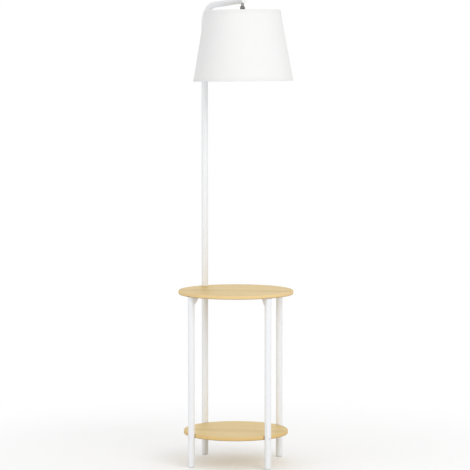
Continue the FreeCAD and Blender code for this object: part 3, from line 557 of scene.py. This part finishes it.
def rolled_cloth(tree, base, start, sweep, low, high, lift, ripple, columns, rows):
    """Cloth on the shade's cone, from start round by sweep and from low to high up the slope.
    Its pattern map is the flat cut that it was rolled from."""
    merge_within = 0.00005
    grid = tree.add("GeometryNodeMeshGrid", {}, [1.0, 1.0, columns, rows])
    x, y, _ = tree.add("GeometryNodeInputPosition", {}).parts()
    turn = start + (x + 0.5) * sweep
    slope = low + (y + 0.5) * (high - low)
    swell = tree.noise(tree.vector(turn.cosine() * 3, turn.sine() * 3, slope * 14), 1.0, 2.0)
    radius, height = on_cone(slope, lift + (swell - 0.5) * ripple)

    swing = CLOTH_SWING - slope
    fan = turn * math.sin(CLOTH_SLOPE)
    cut = tree.vector(swing * fan.sine(), swing * fan.cosine(), 0)
    settings = {"data_type": "FLOAT2", "domain": "CORNER"}
    inputs = {0: grid, "Name": "pattern", "Value": cut}
    mapped = tree.add("GeometryNodeStoreNamedAttribute", settings, inputs)
    round_cone = tree.vector(radius * turn.cosine(), radius * turn.sine(), height)
    bent = tree.add("GeometryNodeSetPosition", {}, {"Geometry": mapped, "Position": round_cone})
    return tree.add("GeometryNodeMergeByDistance", {}, {"Geometry": bent, "Distance": merge_within})


def cloth_piece(name, thick, **sizes):
    """Cloth of a thickness on the shade, from the sizes of rolled_cloth."""
    finish = SLOT_FINISHES["white_fabric"]
    mesh = grown(rolled_cloth, finish, **sizes)
    wall = with_modifiers(mesh, ("SOLIDIFY", {"thickness": thick, "offset": -1.0}))
    return piece(name, wall, finish, "shade", on_shade)


def hem_tape(name, low):
    """The tape folded over a rim of the shade: a band outside, and round the wire inside."""
    wall = CLOTH_THICK + LINER_THICK
    wire_in = wall + 0.0001 + WIRE_RADIUS
    reach, flattened = WIRE_RADIUS + 0.0003, 0.98
    # The fold's section, as (distance from the rim, distance out from the cloth's face): down the
    # outside, over the rim, round the wire and back up along the liner.
    fold = [(HEM_WIDE, HEM_THICK), (0.0006, HEM_THICK), (-0.0001, 0.0), (-0.0004, -0.0008)]
    for degrees in range(-90, 91, 15):
        angle = math.radians(degrees)
        inwards = wire_in + reach * math.cos(angle) * flattened
        fold.append((WIRE_FROM_RIM + reach * math.sin(angle), -inwards))
    fold += [(0.0062, -wall - 0.0005), (0.0085, -wall - 0.0004)]
    rim, side = (0.0, 1) if low else (CLOTH_TALL, -1)
    mesh = turned([on_cone(rim + side * from_rim, out) for from_rim, out in fold], steps=240)
    pattern = mesh.uv_layers.new(name="pattern")
    for loop in mesh.loops:
        at = mesh.vertices[loop.vertex_index].co
        turn = math.atan2(at.y, at.x)
        pattern.data[loop.index].uv = (turn * SHADE_MIDDLE, at.z + 0.4 * math.hypot(at.x, at.y))
    tape = with_modifiers(mesh, ("SOLIDIFY", {"thickness": HEM_THICK, "offset": 0.0}))
    return piece(name, tape, tape_finish, "shade", on_shade)


shade_cloth = cloth_piece("shade_cloth", CLOTH_THICK, start=0.0, sweep=math.tau, low=0.0, high=CLOTH_TALL,
                          lift=0.0, ripple=0.0003, columns=361, rows=49)
overlap = cloth_piece("shade_overlap", 0.0004, start=math.radians(172), sweep=OVERLAP_WIDE / SHADE_MIDDLE,
                      low=HEM_WIDE, high=CLOTH_TALL - HEM_WIDE, lift=0.0005, ripple=0.0, columns=7, rows=65)
tape_finish = woven_cloth("hem_tape", tint=3)
hems = [hem_tape("shade_hem_low", True), hem_tape("shade_hem_high", False)]

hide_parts("shade_fabric")


# ---------------------------------------------------------------- fasteners


def at_corners(tree, base, shape, tip):
    """One copy of a fastener at each base point, tipped over by tip away from the table's middle."""
    info = tree.add("GeometryNodeObjectInfo", {}, {"Object": shape}, output="Geometry")
    x, y, _ = tree.add("GeometryNodeInputPosition", {}).parts()
    turn = tree.vector(0, tip, y.turn(x))
    inputs = {"Points": base, "Instance": info, "Rotation": turn}
    return tree.add("GeometryNodeInstanceOnPoints", {}, inputs)


def fasteners(name, mesh, slot, corners, away, height, tip):
    """A fastener beside the leg at each corner, at a distance outwards from the leg's middle."""
    finish = SLOT_FINISHES[slot]
    sample = linked(name + "_sample", mesh)
    reach = LEG_PLACE + away / math.sqrt(2)
    points = bpy.data.meshes.new("corners")
    points.from_pydata([(x * reach, y * reach, height) for x, y in corners], [], [])
    made = grown(at_corners, finish, base=points, shape=sample, tip=tip)
    bpy.data.objects.remove(sample)
    return piece(name, made, finish, "stand")


def shelf_bolt():
    """A button-head bolt with a hexagon socket, its head's seat at height 0 and its shank downwards."""
    r, t, shank = BOLT_HEAD_RADIUS, BOLT_HEAD_TALL, BOLT_RADIUS
    pitch, groove, plain, tip, socket = 0.0007, 0.00028, 0.0016, 0.0012, 0.0016
    outline = [(0, t), (r * 0.45, t * 0.97), (r * 0.75, t * 0.78), (r * 0.93, t * 0.42), (r, 0.0003), (r, 0)]
    outline += [(shank, 0)]
    depth = plain
    while depth < BOLT_LENGTH - tip:
        outline += [(shank, -depth), (shank - groove, -depth - pitch / 2)]
        depth += pitch
    outline += [(shank - 0.0004, -BOLT_LENGTH + 0.0004), (shank - 0.0008, -BOLT_LENGTH), (0, -BOLT_LENGTH)]
    sixths = [math.tau * k / 6 for k in range(6)]
    hexagon = [(socket * math.cos(angle), socket * math.sin(angle)) for angle in sixths]
    return carved(turned(outline, steps=24), prism(hexagon, t - 0.0013, t + 0.001))


def wood_screw():
    """A pan-head wood screw with a cross recess, its head's seat at height 0 and its point upwards."""
    r, t, thread, core = SCREW_HEAD_RADIUS, SCREW_HEAD_TALL, SCREW_RADIUS, SCREW_RADIUS * 0.7
    pitch, point, slot_long, slot_wide = 0.0013, 0.002, 0.0018, 0.0004
    outline = [(0, -t), (r * 0.5, -t * 0.96), (r * 0.85, -t * 0.66), (r, -t * 0.2), (r, 0), (core, 0)]
    height = 0.0008
    while height < SCREW_DEPTH - 0.003:
        outline += [(core, height), (thread, height + 0.0005), (core, height + 0.0009)]
        height += pitch
    outline += [(thread * 0.6, SCREW_DEPTH - point), (0, SCREW_DEPTH)]
    bar = [(-slot_long, -slot_wide), (slot_long, -slot_wide), (slot_long, slot_wide), (-slot_long, slot_wide)]
    crossed = [(-y, x) for x, y in bar]
    recess = [prism(corners, -t - 0.001, -t + 0.0012) for corners in (bar, crossed)]
    return carved(turned(outline, steps=24), *recess)


bolts = fasteners("shelf_bolts_socket_head", shelf_bolt(), "white_bolt", LEG_CORNERS,
                  away=TUBE_RADIUS - 0.0001, height=BOLT_HEIGHT, tip=math.pi / 2)
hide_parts("shelf_bolts")
screws = fasteners("bracket_screws_cross_head", wood_screw(), "zinc_steel", BRACKET_CORNERS,
                   away=-SCREW_FROM_LEG, height=BRACKET_UNDER, tip=0.0)
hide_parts("bracket_screws")


# ---------------------------------------------------------------- welds


def bead_run(tree, base, pitch, radius):
    """Overlapping weld beads along each edge of the base, each a little larger or smaller."""
    path = tree.add("GeometryNodeMeshToCurve", {}, [base])
    spaced = tree.add("GeometryNodeResampleCurve", {"mode": "LENGTH"}, {"Curve": path, "Length": pitch})
    bead = tree.add("GeometryNodeMeshUVSphere", {}, {"Segments": 8, "Rings": 6, "Radius": radius})
    smallest, largest = 0.85, 1.12
    spread = {2: smallest, 3: largest, "Seed": 7}
    size = tree.add("FunctionNodeRandomValue", {"data_type": "FLOAT"}, spread, output=1)
    inputs = {"Points": spaced, "Instance": bead, "Scale": size}
    return tree.add("GeometryNodeInstanceOnPoints", {}, inputs)


def welds(name, runs, pitch, radius, slot, body, place=None):
    """A weld along each run, which is a pair of points."""
    seams = bpy.data.meshes.new(name)
    points = [point for run in runs for point in run]
    seams.from_pydata(points, [(k, k + 1) for k in range(0, len(points), 2)], [])
    finish = SLOT_FINISHES[slot]
    beads = grown(bead_run, finish, base=seams, pitch=pitch, radius=radius)
    piece(name, beads, finish, body, place, crease=80)


def bracket_seams():
    """Where both sides of each bracket meet the tube, from the bracket's foot up to its plate."""
    side = BRACKET_WIDE / 2 + 0.0001
    inwards = math.sqrt(TUBE_RADIUS**2 - side**2) + 0.0001
    foot_height, rise = BRACKET_UNDER - BRACKET_TALL + 0.001, BRACKET_TALL - 0.001
    runs = []
    for x, y in BRACKET_CORNERS:
        away = Vector((x, y, 0)) / math.sqrt(2)
        across = Vector((-away.y, away.x, 0))
        for hand in (-1, 1):
            foot = Vector((x, y, 0)) * LEG_PLACE - away * inwards + across * side * hand
            foot.z = foot_height
            runs.append((foot, foot + Vector((0, 0, rise))))
    return runs


def spoke_seams():
    """Where the shade's three spokes meet its top ring and its centre ring."""
    half_long = 0.0012
    rings = ((TOP_RING_RADIUS, TOP_RING_HEIGHT), (CENTRE_RING_RADIUS, CENTRE_RING_HEIGHT))
    runs = []
    for degrees in (60, 180, 300):
        angle = math.radians(degrees)
        out = Vector((math.cos(angle), math.sin(angle), 0))
        across = Vector((-out.y, out.x, 0)) * half_long
        for reach, height in rings:
            at = out * reach + Vector((0, 0, height))
            runs.append((at - across, at + across))
    return runs


welds("bracket_welds", bracket_seams(), 0.0014, 0.0009, "white_tube", "stand")
welds("spoke_welds", spoke_seams(), 0.0012, 0.0010, "white_wire", "shade", on_shade)


# ---------------------------------------------------------------- floor, light and camera


def studio_floor():
    """A pale floor that keeps the lamp's shadow, and runs out into white where the camera sees it."""
    reach, shadow_ends, white_from = 40.0, 0.5, 1.5
    floor = Finish("studio_floor", roughness=0.9, base_color=colour(232, 232, 232), specular_ior_level=0.1,
                   emission_strength=1.0)
    x, y, _ = floor.place().parts()
    far = (x * x + y * y).root().rise(shadow_ends, white_from)
    seen = floor.add("ShaderNodeLightPath", {}, output="Is Camera Ray")
    floor.feed(emission_color=floor.mixed(seen, colour(0, 0, 0), colour(120, 120, 120)))
    lit = Value(floor, floor.shader.outputs[0])
    white = floor.add("ShaderNodeEmission", {}, {"Color": colour(255, 255, 255), "Strength": 1.0})
    both = floor.add("ShaderNodeMixShader", {}, [seen * far, lit, white])
    floor.join(both, floor.tree.nodes["Material Output"].inputs["Surface"])
    mesh = bpy.data.meshes.new("studio_floor")
    corners = [(-reach, -reach, 0), (reach, -reach, 0), (reach, reach, 0), (-reach, reach, 0)]
    mesh.from_pydata(corners, [], [(0, 1, 2, 3)])
    mesh.materials.append(floor.material)
    linked("studio_floor", mesh)


def studio_world(strength):
    """White behind the lamp and in its reflections, and an even light of the given strength on it."""
    world = bpy.data.worlds.new("studio")
    world.use_nodes = True
    scene.world = world
    tree = Tree(world.node_tree)
    light = world.node_tree.nodes["Background"]
    rays = ["Is %s Ray" % kind for kind in ("Camera", "Glossy", "Transmission")]
    camera_ray, glossy, through = [tree.add("ShaderNodeLightPath", {}, output=ray) for ray in rays]
    white = (camera_ray + glossy + through) > 0.5
    tree.join(white * (1 - strength) + strength, light.inputs["Strength"])
    light.inputs["Color"].default_value = (1, 1, 1, 1)


def soft_lamp(name, power, wide, place, aim):
    """A round soft lamp at a place, turned to a height on the middle axis."""
    lamp = bpy.data.lights.new(name, "AREA")
    lamp.energy = power
    lamp.shape = "DISK"
    lamp.size = wide
    thing = linked(name, lamp)
    thing.location = place
    thing.rotation_euler = (Vector((0, 0, aim)) - Vector(place)).to_track_quat("-Z", "Y").to_euler()


def camera(azimuth, distance, height, pitch, turn, focus):
    """The camera of the photograph. Its angles are in degrees and focus is in picture widths."""
    lens = bpy.data.cameras.new("camera")
    lens.sensor_width = 36
    lens.lens = lens.sensor_width * focus
    lens.clip_end = 60
    thing = linked("camera", lens)
    around = math.radians(azimuth)
    thing.location = (distance * math.sin(around), -distance * math.cos(around), height)
    thing.rotation_euler = (math.radians(90 - pitch), 0, math.radians(azimuth + turn))
    scene.camera = thing


studio_floor()
studio_world(0.68)
soft_lamp("key", 68, 3.2, (2.8, -3.0, 2.4), aim=0.9)
soft_lamp("fill", 30, 3.0, (-3.2, -2.6, 1.1), aim=0.6)
soft_lamp("back", 22, 3.2, (-0.8, 3.8, 2.4), aim=0.9)
soft_lamp("above", 10, 3.0, (0.2, 0.0, 4.4), aim=1.0)
camera(azimuth=9.4, distance=8.04, height=1.427, pitch=4.693, turn=0.021, focus=5.131)
scene.view_settings.view_transform = "Standard"
